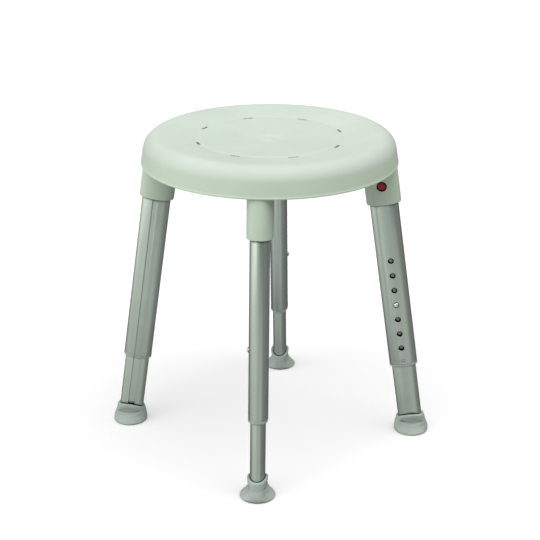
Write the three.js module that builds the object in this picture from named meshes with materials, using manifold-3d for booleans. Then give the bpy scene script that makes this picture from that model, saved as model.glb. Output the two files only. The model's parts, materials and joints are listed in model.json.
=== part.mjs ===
// Shower stool: a round moulded seat on four splayed, height-adjustable, removable legs.
// Millimetres, +Z up. The origin is on the floor, on the seat's axis.

import * as THREE from 'three';
import { mergeVertices } from 'three/addons/utils/BufferGeometryUtils.js';
import Module from 'manifold-3d';

const wasm = await Module();
wasm.setup();

// ---- driving dimensions -------------------------------------------------------------------

const GAP = 0.3; // clearance between pieces that touch or nearly touch

const LEG_COUNT = 4;
const LEG_RADIUS = 234.3; // where a leg's axis meets the floor, from the seat's axis
const SPLAY = Math.atan(0.145); // lean of each leg, outward going down

const SEAT_TOP = 498.8; // highest ring of the seat
const SEAT_CORNER = 24; // radius of the rounded edge between the top and the side
const SEAT_CORNER_CENTRE = 170.6; // radius at which the top starts to round over
const SEAT_SKIRT_RADIUS = 197.4; // lower edge of the side wall
const SEAT_SKIRT_BOTTOM = 455.6;
const SEAT_WALL = 4;
const LIP_HEIGHT = 3; // the thin rounded lip along the skirt's lower edge
const LIP_DEPTH = 0.6;
const GROOVE_RADIUS = 113.5; // shallow drain groove in the top
const GROOVE_HEIGHT = 492.1;
const DISH_HEIGHT = 487.5; // floor of the small dish in the middle
const SLOT_COUNT = 8;
const SLOT_LENGTH = 17;
const SLOT_WIDTH = 4;
const RIB_THICKNESS = 3;
const RIB_BOTTOM = 471;

const OUTER_TUBE = { halfR: 22.2, halfT: 14.85, wall: 1.5 }; // radial and tangential half widths
const INNER_TUBE = { halfR: 19.1, halfT: 11.5, wall: 1.2 };
const CHANNEL_DEPTH = 1.4; // lengthwise channel along one face of both tubes
const OUTER_CHANNEL_HALF = 4.5;
const INNER_CHANNEL_HALF = 5.5;
const CHANNEL_SLOPE = 2.4; // how far each side of the channel leans

// Stations along a leg's axis, measured up from the floor.
const BUSH_START = 119.3;
const BUSH_FLANGE = 4;
const BUSH_SLEEVE_TOP = 145;
const NUB_STATION = 130.4;
const BUTTON_STATION = 227.5; // the middle one of the height holes
const HOLE_PITCH = 25;
const HOLE_COUNT = 7;
const INNER_TUBE_START = 8.8;
const INNER_TUBE_END = 329.7;
const GLIDE_LENGTH = 8;
const GLIDE_PLUG = 12;
const OUTER_TUBE_END = 461;
const LOCK_STATION = 426.6;
const COLLAR_START = 396;
const SOCKET_END = 465;

const COLLAR = { halfR: 27, halfT: 19.5 };
const COLLAR_EDGE = 1; // rounding of the collar's mouth
const LOCK_WINDOW_RADIUS = 7.9;

const HEIGHT_HOLE_RADIUS = 4.75;
const NUB_HOLE_RADIUS = 3;
const BUTTON_RADIUS = 4.1;
const BUTTON_FLANGE_RADIUS = 6;
const BUTTON_TIP = 17.85; // how far the dome reaches from the leg's axis
const LOCK_HOLE_RADIUS = 7.1;
const LOCK_BUTTON_RADIUS = 6.2;
const LOCK_FLANGE_RADIUS = 8.4;
const LOCK_BUTTON_TIP = 19.3;
const FLANGE_THICKNESS = 1;
const SPRING_THICKNESS = 0.6;
const SPRING_WIDTH = 9;
const HEIGHT_SPRING_LENGTH = 34;
const LOCK_SPRING_LENGTH = 24;

const FOOT_CENTRE = 232.8; // the round pad's centre, from the seat's axis
const FOOT_SOCKET = { halfR: 23.2, halfT: 15.8 };
const FOOT_SOCKET_FLOOR = 8.5;
const FOOT_RIM = 32.5; // top of the rim at the tangential sides
const FOOT_RIM_ARC = 50; // radius of the arc that lowers the rim at the radial ends
const FOOT_LEAN_START = 10; // below this height the foot is upright, above it leans with the leg
const FOOT_LEVELS = [
  // a round sole, a scoop in each tangential side, then the socket
  { z: 0, halfR: 25, halfT: 25, power: 2 },
  { z: 1.2, halfR: 26.9, halfT: 26.9, power: 2 },
  { z: 3.2, halfR: 27.4, halfT: 26.4, power: 2 },
  { z: 5, halfR: 27.4, halfT: 23.4, power: 2.1 },
  { z: 8, halfR: 27.2, halfT: 19.8, power: 2.2 },
  { z: 11.5, halfR: 26.6, halfT: 17, power: 2.3 },
  { z: 16, halfR: 25.4, halfT: FOOT_SOCKET.halfT, power: 2.4 },
  { z: 23, halfR: FOOT_SOCKET.halfR, halfT: FOOT_SOCKET.halfT, power: 2.4 },
  { z: FOOT_RIM + 5, halfR: FOOT_SOCKET.halfR, halfT: FOOT_SOCKET.halfT, power: 2.4 },
];

const OVAL_POWER = 2.3; // 2 is an ellipse, more is squarer
const OVAL_POINTS = 20;
const ROUND_POINTS = 10;
const SEAT_POINTS = 40;
const RIM_ARC_POINTS = 28;

// ---- solids -------------------------------------------------------------------------------

function solid(geometry) {
  const bare = geometry.index ? geometry.toNonIndexed() : geometry.clone();
  bare.deleteAttribute('normal');
  bare.deleteAttribute('uv');
  const merged = mergeVertices(bare, 1e-4);
  const corners = merged.index.array;
  const kept = [];
  for (let i = 0; i < corners.length; i += 3) {
    const [a, b, c] = corners.slice(i, i + 3);
    if (a !== b && b !== c && c !== a) {
      kept.push(a, b, c);
    }
  }
  const vertProperties = Float32Array.from(merged.attributes.position.array);
  const triVerts = Uint32Array.from(kept);
  return new wasm.Manifold(new wasm.Mesh({ numProp: 3, vertProperties, triVerts }));
}

function geometryOf(shape) {
  const mesh = shape.getMesh();
  const geometry = new THREE.BufferGeometry();
  geometry.setAttribute('position', new THREE.BufferAttribute(mesh.vertProperties, 3));
  geometry.setIndex(new THREE.BufferAttribute(mesh.triVerts, 1));
  geometry.computeVertexNormals();
  return geometry;
}

// How far an oval's face is from its long axis, at x along that axis.
function faceAt({ halfR, halfT }, x) {
  return halfT * (1 - Math.abs(x / halfR) ** OVAL_POWER) ** (1 / OVAL_POWER);
}

// Points round an oval: an ellipse where power is 2, squarer where it is more.
// The first point is a share of a step away from the long axis.
function roundedPoints({ halfR, halfT }, power, share) {
  const points = [];
  for (let i = 0; i < OVAL_POINTS; i += 1) {
    const angle = ((i + share) / OVAL_POINTS) * 2 * Math.PI;
    const x = halfR * Math.sign(Math.cos(angle)) * Math.abs(Math.cos(angle)) ** (2 / power);
    const y = halfT * Math.sign(Math.sin(angle)) * Math.abs(Math.sin(angle)) ** (2 / power);
    points.push(new THREE.Vector2(x, y));
  }
  return points;
}

// The outline of an oval tube. With a channel, the +Y side is stepped in over its width.
function ovalPoints(size, channelHalf = 0) {
  const { halfT } = size;
  const clear = ({ x, y }) => y < 0 || Math.abs(x) > channelHalf + CHANNEL_SLOPE / 2;
  const points = roundedPoints(size, OVAL_POWER, 0.5).filter(clear);
  if (channelHalf > 0) {
    const edge = faceAt(size, channelHalf);
    const floorHalf = channelHalf - CHANNEL_SLOPE;
    const floor = halfT - CHANNEL_DEPTH;
    const corners = [
      new THREE.Vector2(channelHalf, edge),
      new THREE.Vector2(floorHalf, floor),
      new THREE.Vector2(-floorHalf, floor),
      new THREE.Vector2(-channelHalf, edge),
    ];
    const firstLeft = points.findIndex((point) => point.x < 0);
    points.splice(firstLeft, 0, ...corners);
  }
  return points;
}

function oval(size, channelHalf = 0) {
  return new THREE.Shape(ovalPoints(size, channelHalf));
}

function grown({ halfR, halfT }, by) {
  return { halfR: halfR + by, halfT: halfT + by };
}

function prism(shape, from, to) {
  const geometry = new THREE.ExtrudeGeometry(shape, { depth: to - from, bevelEnabled: false });
  return geometry.translate(0, 0, from);
}

function ovalTube(outside, inside, from, to, outsideChannel, insideChannel) {
  const shape = oval(outside, outsideChannel);
  shape.holes.push(new THREE.Path(ovalPoints(inside, insideChannel)));
  return solid(prism(shape, from, to));
}

// A round bar across the leg, on the button side.
function crossBar(radius, near, far, station) {
  const bar = new THREE.CylinderGeometry(radius, radius, far - near, ROUND_POINTS);
  return solid(bar.translate(0, -(near + far) / 2, station));
}

function lathe(points, segments) {
  return new THREE.LatheGeometry(points, segments).rotateX(Math.PI / 2);
}

function arcPoints(centreR, centreZ, radius, startAngle, endAngle, steps) {
  const points = [];
  for (let i = 0; i <= steps; i += 1) {
    const angle = startAngle + ((endAngle - startAngle) * i) / steps;
    const r = centreR + radius * Math.cos(angle);
    const z = centreZ + radius * Math.sin(angle);
    points.push(new THREE.Vector2(r, z));
  }
  return points;
}

// ---- frames -------------------------------------------------------------------------------

// A leg's own frame: X radially outward, Y along the seat's edge, Z up the leg's axis.
function legMatrix(k) {
  const turn = new THREE.Matrix4().makeRotationZ((k * 2 * Math.PI) / LEG_COUNT);
  const shift = new THREE.Matrix4().makeTranslation(LEG_RADIUS, 0, 0);
  const lean = new THREE.Matrix4().makeRotationY(-SPLAY);
  return turn.multiply(shift).multiply(lean);
}

// ---- seat ---------------------------------------------------------------------------------

// The gently dished top: a small dome in a shallow dish, then the drain groove.
function seatTopLine(depth) {
  const points = [
    [0, DISH_HEIGHT + 2],
    [10, DISH_HEIGHT],
    [23, DISH_HEIGHT + 1],
    [GROOVE_RADIUS - 4, GROOVE_HEIGHT + 0.8],
    [GROOVE_RADIUS, GROOVE_HEIGHT - 0.4],
    [GROOVE_RADIUS + 4, GROOVE_HEIGHT + 1.2],
  ];
  return points.map(([r, z]) => new THREE.Vector2(r, z - depth));
}

// The seat's line from its middle to the top of its side wall, at a depth inside the wall.
function seatLine(depth, cornerSteps) {
  const quarter = Math.PI / 2;
  const cornerZ = SEAT_TOP - SEAT_CORNER;
  const corner = arcPoints(SEAT_CORNER_CENTRE, cornerZ, SEAT_CORNER - depth, quarter, 0, cornerSteps);
  return [...seatTopLine(depth), ...corner];
}

function seatShell() {
  const lip = [
    new THREE.Vector2(SEAT_SKIRT_RADIUS, SEAT_SKIRT_BOTTOM + LIP_HEIGHT),
    new THREE.Vector2(SEAT_SKIRT_RADIUS + LIP_DEPTH, SEAT_SKIRT_BOTTOM + LIP_HEIGHT - LIP_DEPTH),
    new THREE.Vector2(SEAT_SKIRT_RADIUS + LIP_DEPTH, SEAT_SKIRT_BOTTOM),
    new THREE.Vector2(SEAT_SKIRT_RADIUS - SEAT_WALL, SEAT_SKIRT_BOTTOM),
  ];
  const closed = [...seatLine(0, 4), ...lip, ...seatLine(SEAT_WALL, 2).reverse()];
  return solid(lathe(closed.reverse(), SEAT_POINTS));
}

// Everything below the middle of the seat's wall, to trim what grows up from underneath.
function seatEnvelope() {
  const bottom = COLLAR_START - 2 * SEAT_CORNER;
  const line = [
    ...seatLine(SEAT_WALL / 2, 3),
    new THREE.Vector2(SEAT_SKIRT_RADIUS - SEAT_WALL / 2, SEAT_SKIRT_BOTTOM + LIP_HEIGHT),
    new THREE.Vector2(LEG_RADIUS, SEAT_SKIRT_BOTTOM + LIP_HEIGHT),
    new THREE.Vector2(LEG_RADIUS, bottom),
    new THREE.Vector2(0, bottom),
  ];
  return solid(lathe(line.reverse(), SEAT_POINTS));
}

// Two deep ribs that cross in the middle and tie opposite collars together.
function seatRibs() {
  const length = 2 * (SEAT_SKIRT_RADIUS - SEAT_WALL);
  const height = SEAT_TOP - RIB_BOTTOM;
  const rib = new THREE.BoxGeometry(length, RIB_THICKNESS, height);
  rib.translate(0, 0, RIB_BOTTOM + height / 2);
  return solid(rib).add(solid(rib.clone().rotateZ(Math.PI / 2)));
}

function collarBlock(k) {
  const settings = {
    depth: SEAT_TOP - COLLAR_START - COLLAR_EDGE,
    bevelSize: COLLAR_EDGE,
    bevelThickness: COLLAR_EDGE,
    bevelOffset: -COLLAR_EDGE,
    bevelSegments: 1,
  };
  const block = new THREE.ExtrudeGeometry(oval(COLLAR), settings);
  block.translate(0, 0, COLLAR_START + COLLAR_EDGE);
  return solid(block.applyMatrix4(legMatrix(k)));
}

function legSocket(k) {
  const room = prism(oval(grown(OUTER_TUBE, GAP)), COLLAR_START - COLLAR_EDGE, SOCKET_END);
  return solid(room.applyMatrix4(legMatrix(k)));
}

function lockWindow(k) {
  const depth = COLLAR.halfT;
  const window = new THREE.CylinderGeometry(LOCK_WINDOW_RADIUS, LOCK_WINDOW_RADIUS, depth, ROUND_POINTS);
  window.translate(0, -COLLAR.halfT, LOCK_STATION);
  return solid(window.applyMatrix4(legMatrix(k)));
}

function drainSlot(i) {
  const straight = (SLOT_LENGTH - SLOT_WIDTH) / 2;
  const shape = new THREE.Shape();
  shape.absarc(0, straight, SLOT_WIDTH / 2, 0, Math.PI, false);
  shape.absarc(0, -straight, SLOT_WIDTH / 2, Math.PI, 2 * Math.PI, false);
  const settings = { depth: 4 * SEAT_WALL, bevelEnabled: false, curveSegments: 3 };
  const slot = new THREE.ExtrudeGeometry(shape, settings);
  slot.translate(GROOVE_RADIUS, 0, GROOVE_HEIGHT - 3 * SEAT_WALL);
  return solid(slot.rotateZ(((i + 0.5) * 2 * Math.PI) / SLOT_COUNT));
}

function makeSeat() {
  let under = seatRibs();
  for (let k = 0; k < LEG_COUNT; k += 1) {
    under = under.add(collarBlock(k));
  }
  let seat = seatShell().add(under.intersect(seatEnvelope()));
  for (let k = 0; k < LEG_COUNT; k += 1) {
    seat = seat.subtract(legSocket(k)).subtract(lockWindow(k));
  }
  for (let i = 0; i < SLOT_COUNT; i += 1) {
    seat = seat.subtract(drainSlot(i));
  }
  return seat;
}

// ---- tubes --------------------------------------------------------------------------------

function makeOuterTube() {
  const bore = grown(OUTER_TUBE, -OUTER_TUBE.wall);
  const start = BUSH_START + BUSH_FLANGE + GAP;
  const boreChannel = OUTER_CHANNEL_HALF + OUTER_TUBE.wall / 2;
  let tube = ovalTube(OUTER_TUBE, bore, start, OUTER_TUBE_END, OUTER_CHANNEL_HALF, boreChannel);
  const cut = (radius, station) => crossBar(radius, bore.halfT / 2, 2 * OUTER_TUBE.halfT, station);
  for (let i = 0; i < HOLE_COUNT; i += 1) {
    const station = BUTTON_STATION + (i - (HOLE_COUNT - 1) / 2) * HOLE_PITCH;
    tube = tube.subtract(cut(HEIGHT_HOLE_RADIUS, station));
  }
  tube = tube.subtract(cut(NUB_HOLE_RADIUS, NUB_STATION));
  return tube.subtract(cut(LOCK_HOLE_RADIUS, LOCK_STATION));
}

function makeInnerTube() {
  const bore = grown(INNER_TUBE, -INNER_TUBE.wall);
  const boreChannel = INNER_CHANNEL_HALF + INNER_TUBE.wall / 2;
  const tube = ovalTube(
    INNER_TUBE, bore, INNER_TUBE_START, INNER_TUBE_END, INNER_CHANNEL_HALF, boreChannel,
  );
  const hole = crossBar(BUTTON_RADIUS + GAP, bore.halfT / 2, 2 * INNER_TUBE.halfT, BUTTON_STATION);
  return tube.subtract(hole);
}

// The plastic ring that closes the outer tube's end and guides the inner tube.
function makeEndBush() {
  const bore = grown(INNER_TUBE, GAP);
  const sleeve = grown(OUTER_TUBE, -OUTER_TUBE.wall - GAP);
  const tongue = INNER_CHANNEL_HALF - GAP;
  const flangeEnd = BUSH_START + BUSH_FLANGE;
  const flange = ovalTube(OUTER_TUBE, bore, BUSH_START, flangeEnd, OUTER_CHANNEL_HALF, tongue);
  const guide = ovalTube(sleeve, bore, BUSH_START, BUSH_SLEEVE_TOP, 0, 0);
  const width = 2 * (INNER_CHANNEL_HALF + 3 * GAP);
  const length = BUSH_SLEEVE_TOP - BUSH_START;
  const split = new THREE.BoxGeometry(width, 2 * OUTER_TUBE.halfT, 2 * length);
  split.translate(0, OUTER_TUBE.halfT, BUSH_START + length);
  const nub = crossBar(NUB_HOLE_RADIUS - GAP, sleeve.halfT - 1, OUTER_TUBE.halfT + GAP, NUB_STATION);
  return guide.subtract(solid(split)).add(flange).add(nub);
}

// The plastic plug in the inner tube's top, which slides in the outer tube.
function makeTopGlide() {
  const slider = oval(grown(OUTER_TUBE, -OUTER_TUBE.wall - GAP), INNER_CHANNEL_HALF + 3 * GAP);
  const plug = oval(grown(INNER_TUBE, -INNER_TUBE.wall - GAP), INNER_CHANNEL_HALF + 3 * GAP);
  const head = solid(prism(slider, INNER_TUBE_END + GAP, INNER_TUBE_END + GAP + GLIDE_LENGTH));
  return head.add(solid(prism(plug, INNER_TUBE_END - GLIDE_PLUG, INNER_TUBE_END + 2 * GAP)));
}

// ---- buttons and springs ------------------------------------------------------------------

// A push button on the button side: a flange behind the tube's wall, a shank and a domed face.
function makeButton(radius, flangeRadius, flangeAt, tip, domeHeight, station) {
  const profile = [
    new THREE.Vector2(0, flangeAt - FLANGE_THICKNESS),
    new THREE.Vector2(flangeRadius, flangeAt - FLANGE_THICKNESS),
    new THREE.Vector2(flangeRadius, flangeAt),
    new THREE.Vector2(radius, flangeAt),
    new THREE.Vector2(radius, tip - domeHeight),
    new THREE.Vector2(radius * 0.8, tip - domeHeight * 0.4),
    new THREE.Vector2(radius * 0.45, tip - domeHeight * 0.08),
    new THREE.Vector2(0, tip),
  ];
  const button = new THREE.LatheGeometry(profile, ROUND_POINTS);
  return solid(button.rotateX(Math.PI).translate(0, 0, station));
}

// A leaf spring: a strip folded back on itself across the tube, behind a button.
// bendSide is +1 when the fold is above the button and -1 when it is below.
function makeLeafSpring(nearY, farY, station, freeLength, bendSide) {
  const middle = (nearY + farY) / 2;
  const outer = (farY - nearY) / 2;
  const inner = outer - SPRING_THICKNESS;
  const shape = new THREE.Shape();
  shape.moveTo(nearY, 0);
  shape.lineTo(nearY, freeLength);
  shape.absarc(middle, freeLength, outer, Math.PI, 0, true);
  shape.lineTo(farY, 0);
  shape.lineTo(farY - SPRING_THICKNESS, 0);
  shape.lineTo(farY - SPRING_THICKNESS, freeLength);
  shape.absarc(middle, freeLength, inner, 0, Math.PI, false);
  shape.lineTo(nearY + SPRING_THICKNESS, 0);
  const settings = { depth: SPRING_WIDTH, bevelEnabled: false, curveSegments: 6 };
  const strip = new THREE.ExtrudeGeometry(shape, settings);
  strip.translate(0, 0, -SPRING_WIDTH / 2);
  const upright = new THREE.Matrix4().makeBasis(
    new THREE.Vector3(0, 1, 0),
    new THREE.Vector3(0, 0, bendSide),
    new THREE.Vector3(bendSide, 0, 0),
  );
  strip.applyMatrix4(upright);
  return solid(strip.translate(0, 0, station - bendSide * SPRING_WIDTH * 0.6));
}

const outerBore = grown(OUTER_TUBE, -OUTER_TUBE.wall);
const innerBore = grown(INNER_TUBE, -INNER_TUBE.wall);
const heightFlange = faceAt(innerBore, BUTTON_FLANGE_RADIUS) - GAP;
const lockFlange = faceAt(outerBore, LOCK_FLANGE_RADIUS) - GAP;

function makeHeightButton() {
  const dome = 2.2;
  return makeButton(
    BUTTON_RADIUS, BUTTON_FLANGE_RADIUS, heightFlange, BUTTON_TIP, dome, BUTTON_STATION,
  );
}

function makeLockButton() {
  const dome = 1.4;
  return makeButton(
    LOCK_BUTTON_RADIUS, LOCK_FLANGE_RADIUS, lockFlange, LOCK_BUTTON_TIP, dome, LOCK_STATION,
  );
}

function makeHeightSpring() {
  const near = FLANGE_THICKNESS + GAP - heightFlange;
  const far = innerBore.halfT - CHANNEL_DEPTH - GAP;
  return makeLeafSpring(near, far, BUTTON_STATION, HEIGHT_SPRING_LENGTH, -1);
}

function makeLockSpring() {
  const near = FLANGE_THICKNESS + GAP - lockFlange;
  const far = outerBore.halfT - CHANNEL_DEPTH - GAP;
  return makeLeafSpring(near, far, LOCK_STATION, LOCK_SPRING_LENGTH, 1);
}

// ---- foot ---------------------------------------------------------------------------------

// A closed body through level rings, one below the other.
function loft(levels) {
  const positions = [];
  for (const level of levels) {
    const shift = -Math.max(0, level.z - FOOT_LEAN_START) * Math.tan(SPLAY);
    for (const { x, y } of roundedPoints(level, level.power, 0)) {
      positions.push(x + shift, y, level.z);
    }
  }
  const corners = [];
  for (let ring = 0; ring < levels.length - 1; ring += 1) {
    const low = ring * OVAL_POINTS;
    for (let i = 0; i < OVAL_POINTS; i += 1) {
      const j = (i + 1) % OVAL_POINTS;
      corners.push(low + i, low + j, low + OVAL_POINTS + j);
      corners.push(low + i, low + OVAL_POINTS + j, low + OVAL_POINTS + i);
    }
  }
  const top = (levels.length - 1) * OVAL_POINTS;
  for (let i = 1; i < OVAL_POINTS - 1; i += 1) {
    corners.push(0, i + 1, i, top, top + i, top + i + 1);
  }
  const geometry = new THREE.BufferGeometry();
  geometry.setAttribute('position', new THREE.Float32BufferAttribute(positions, 3));
  geometry.setIndex(corners);
  return solid(geometry);
}

// Built upright over the pad's centre; the socket leans with the leg.
function makeFoot() {
  const fromAxis = new THREE.Matrix4().makeTranslation(LEG_RADIUS - FOOT_CENTRE, 0, 0);
  const lean = fromAxis.multiply(new THREE.Matrix4().makeRotationY(-SPLAY));
  const across = 4 * FOOT_SOCKET.halfT;
  const rimArc = new THREE.CylinderGeometry(FOOT_RIM_ARC, FOOT_RIM_ARC, across, RIM_ARC_POINTS);
  rimArc.translate(0, 0, FOOT_RIM - FOOT_RIM_ARC);
  const room = prism(oval(grown(INNER_TUBE, GAP)), FOOT_SOCKET_FLOOR, 2 * FOOT_RIM);
  const body = loft(FOOT_LEVELS).intersect(solid(rimArc.applyMatrix4(lean)));
  return body.subtract(solid(room.applyMatrix4(lean)));
}

// ---- materials ----------------------------------------------------------------------------

function material(color, roughness, metalness) {
  return new THREE.MeshStandardMaterial({ color, roughness, metalness });
}

const seatPlastic = () => material(0xd3dfd2, 0.45, 0);
const aluminium = () => material(0xb4bfb5, 0.35, 1);
const bushPlastic = () => material(0xb9c2b8, 0.5, 0);
const footRubber = () => material(0xb0bbb0, 0.7, 0);
const redPlastic = () => material(0xa02a2a, 0.4, 0);
const polishedSteel = () => material(0xd8d8d8, 0.15, 1);
const springSteel = () => material(0x9a9a9a, 0.3, 1);

// ---- assembly -----------------------------------------------------------------------------

function piece(name, shape, finish) {
  const mesh = new THREE.Mesh(geometryOf(shape), finish);
  mesh.name = name;
  return mesh;
}

const legPieces = [
  ['outer_tube', makeOuterTube(), aluminium],
  ['end_bush', makeEndBush(), bushPlastic],
  ['lock_button', makeLockButton(), redPlastic],
  ['lock_spring', makeLockSpring(), springSteel],
  ['inner_tube', makeInnerTube(), aluminium],
  ['top_glide', makeTopGlide(), bushPlastic],
  ['height_button', makeHeightButton(), polishedSteel],
  ['height_spring', makeHeightSpring(), springSteel],
];
const footShape = makeFoot();

// One leg in its own frames: the foot stands upright, everything else leans with the axis.
function makeLeg(k) {
  const leg = new THREE.Group();
  leg.rotation.z = (k * 2 * Math.PI) / LEG_COUNT;
  const axis = new THREE.Group();
  axis.position.set(LEG_RADIUS, 0, 0);
  axis.rotation.y = -SPLAY;
  for (const [name, shape, finish] of legPieces) {
    axis.add(piece(`${name}_${k + 1}`, shape, finish()));
  }
  const foot = piece(`foot_${k + 1}`, footShape, footRubber());
  foot.position.set(FOOT_CENTRE, 0, 0);
  leg.add(axis, foot);
  return leg;
}

const stool = new THREE.Group();
stool.name = 'shower_stool';
stool.add(piece('seat', makeSeat(), seatPlastic()));
for (let k = 0; k < LEG_COUNT; k += 1) {
  stool.add(makeLeg(k));
}

export default stool;
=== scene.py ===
"""Shower stool: the looks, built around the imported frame. Sizes are in millimetres until a mesh is made."""

import json
import math

import bpy
import numpy as np
from mathutils import Matrix, Vector


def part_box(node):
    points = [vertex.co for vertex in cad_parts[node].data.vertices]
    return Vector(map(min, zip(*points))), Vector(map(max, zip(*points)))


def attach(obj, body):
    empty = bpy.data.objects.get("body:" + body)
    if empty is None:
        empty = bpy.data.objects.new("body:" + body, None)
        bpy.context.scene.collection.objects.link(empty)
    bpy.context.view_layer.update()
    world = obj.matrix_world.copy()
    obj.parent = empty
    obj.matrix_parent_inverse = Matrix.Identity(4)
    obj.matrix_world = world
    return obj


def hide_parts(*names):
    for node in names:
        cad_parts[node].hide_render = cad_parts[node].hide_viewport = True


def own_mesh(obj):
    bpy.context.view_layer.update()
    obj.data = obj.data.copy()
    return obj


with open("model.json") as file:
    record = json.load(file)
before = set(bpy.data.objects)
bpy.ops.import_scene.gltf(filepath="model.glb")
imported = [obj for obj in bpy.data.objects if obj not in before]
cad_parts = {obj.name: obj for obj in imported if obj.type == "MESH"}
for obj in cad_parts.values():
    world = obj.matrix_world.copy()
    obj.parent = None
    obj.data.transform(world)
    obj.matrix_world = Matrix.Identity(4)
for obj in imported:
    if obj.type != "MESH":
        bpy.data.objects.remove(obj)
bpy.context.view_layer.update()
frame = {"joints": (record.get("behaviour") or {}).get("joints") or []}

MM = 0.001
GAP = 0.3  # clearance between pieces that touch

# ---- driving dimensions, in millimetres ---------------------------------------------------

LEG_COUNT = 4
LEG_RADIUS = 234.3  # where a leg's axis meets the floor
release = next(j for j in frame["joints"] if j["name"] == "leg_release_1")
SPLAY = math.atan2(release["axis"][0], -release["axis"][2])

SEAT_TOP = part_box("seat")[1].z / MM
SEAT_CORNER = 24.0
SEAT_CORNER_CENTRE = 170.6
SKIRT_RADIUS = 197.4
SKIRT_DRAFT = math.radians(8.3)  # the side spreads this much towards its bottom
SKIRT_BOTTOM = 455.6
SEAT_WALL = 4.0
SIDE_RINGS = (13.5, 2.0, 0.5)  # heights above the lip of the side's rings, which keep its shading even
LIP_HEIGHT = 3.0
LIP_DEPTH = 0.6
LIP_EDGE = 0.8
SIDE_INSET = 0.1  # the side ends this far inside the skirt's radius
SEAT_STEPS = 288
GROOVE_RADIUS = 113.5
GROOVE_HEIGHT = 492.1
DISH_HEIGHT = 487.5
SLOT_COUNT = 8
SLOT_LENGTH = 17.0
SLOT_WIDTH = 4.0
EASE = 0.35  # how far the edges of slots and holes are rounded
RIB_BOTTOM = 471.0
RIB_THICKNESS = 3.0
RIB_STEP = 0.2  # one rib stands this much higher, so the two share no plane

OVAL_POWER = 2.3
OUTER_TUBE = (22.2, 14.85)  # radial and tangential half widths
OUTER_WALL = 1.5
INNER_TUBE = (19.1, 11.5)
INNER_WALL = 1.2
CHANNEL_DEPTH = 1.4
CHANNEL_SLOPE = 1.6
OUTER_CHANNEL = 4.5  # half width of the channel down the outer tube
INNER_CHANNEL = 5.5
TUBE_EDGE = 0.3
COLLAR = (27.0, 19.5)
COLLAR_START = 396.0
COLLAR_EDGE = 1.0
SOCKET_END = 465.0

# Stations along a leg's axis, from the floor.
BUSH_START = 119.3
BUSH_FLANGE = 4.0
BUSH_EDGE = 1.4
BUSH_PROUD = 0.25  # how far the bush stands out from the outer tube
BUSH_SLEEVE_TOP = 145.0
NUB_STATION = 130.4
BUTTON_STATION = 227.5
HOLE_PITCH = 25.0
HOLE_COUNT = 7
INNER_TUBE_START = 8.8
INNER_TUBE_END = 329.7
GLIDE_LENGTH = 8.0
GLIDE_PLUG = 12.0
OUTER_TUBE_END = 461.0
LOCK_STATION = 426.6
LOCK_WINDOW_RADIUS = 7.9

HEIGHT_HOLE_RADIUS = 4.75
NUB_HOLE_RADIUS = 3.0
NUB_PROUD = 0.5
BUTTON_RADIUS = 4.1
BUTTON_FLANGE_RADIUS = 6.0
BUTTON_TIP = 17.85
BUTTON_DOME = 2.6
BUTTON_TRAVEL = 5.0
LOCK_HOLE_RADIUS = 7.1
LOCK_BUTTON_RADIUS = 6.2
LOCK_FLANGE_RADIUS = 8.4
LOCK_BUTTON_TIP = 19.3
LOCK_BUTTON_DOME = 1.6
LOCK_TRAVEL = 6.0
FLANGE_THICKNESS = 1.0
FLANGE_CHAMFER = 0.2
ROUND_STEPS = 48
SPRING_THICKNESS = 0.6
SPRING_WIDTH = 9.0
SPRING_EDGE = 0.15
SPRING_OVERLAP = 0.6  # how far a spring reaches past its button's middle, in widths
HEIGHT_SPRING_LENGTH = 34.0
LOCK_SPRING_LENGTH = 24.0

FOOT_CENTRE = 232.8
FOOT_SOCKET = (23.2, 15.8)
FOOT_SOCKET_FLOOR = 8.5
FOOT_RIM = 32.5
FOOT_RIM_ARC = 50.0
FOOT_LEAN_START = 10.0
FOOT_LEAN_ROUNDING = 6.0  # softens the bend where the lean starts
FOOT_STEPS = 168
FOOT_POWER = 2.4
FOOT_HUG = 0.06  # clearance between the foot and its tube
SOLE_GROOVES = [(5.0, 7.0), (11.0, 13.0), (17.0, 19.0)]  # inner and outer radius
SOLE_GROOVE_DEPTH = 0.8
SOLE_GROOVE_SLOPE = 0.3
SOLE_EDGE = [(24.2, 0.0), (25.4, 0.25), (26.4, 0.9), (27.1, 1.9)]  # radius and height
# Height, radial half width, tangential half width and squareness.
FOOT_LEVELS = [
    (3.2, 27.4, 26.4, 2.0),
    (5.0, 27.4, 23.4, 2.1),
    (8.0, 27.2, 19.8, 2.2),
    (11.5, 26.6, 17.0, 2.3),
    (16.0, 25.4, 15.8, 2.4),
    (23.0, 23.2, 15.8, 2.4),
]
SCOOP_DEPTH = 1.5  # the hollow in each tangential side of a foot
SCOOP_HALF_WIDTH = 20.5
SCOOP_MIDDLE = 18.0
SCOOP_TOP = 26.5
SCOOP_BOTTOM = 11.5
SCOOP_TOP_SLOPE = 1.0
SCOOP_BOTTOM_SLOPE = 4.0

SHARP_EDGE = math.radians(34)  # steeper edges than this stay crisp

# The studio's soft lights: azimuth from the front towards +X, elevation, spread (all in degrees)
# and strength.
STUDIO_LIGHTS = [
    (0, 75, 50, 1.4),  # softbox overhead
    (90, 50, 45, 1.25),  # softbox on the right
    (318, 32, 40, 0.85),  # softbox in front, on the left
    (290, 3, 80, 0.55),  # pale wall on the left
    (275, 20, 45, 0.35),  # window on the left
    (10, -28, 55, 0.35),  # floor in front
    (80, -30, 65, 0.17),  # floor on the right
    (180, 30, 60, 0.25),  # softbox behind
    (180, -30, 50, 0.1),  # floor behind
]
ROOM_GLOW = 0.05
FLOOR_GLOW = 0.3

FLOOR_LOW = (-9000, -6000)
FLOOR_HIGH = (9000, 14000)

CAMERA_PLACE = (0.1634, -2.0591, 1.0794)  # metres
CAMERA_TILT = 68.675  # degrees from straight down
CAMERA_TURN = 4.526
CAMERA_LENS = 93.04


# ---- mesh tools ---------------------------------------------------------------------------


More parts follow.
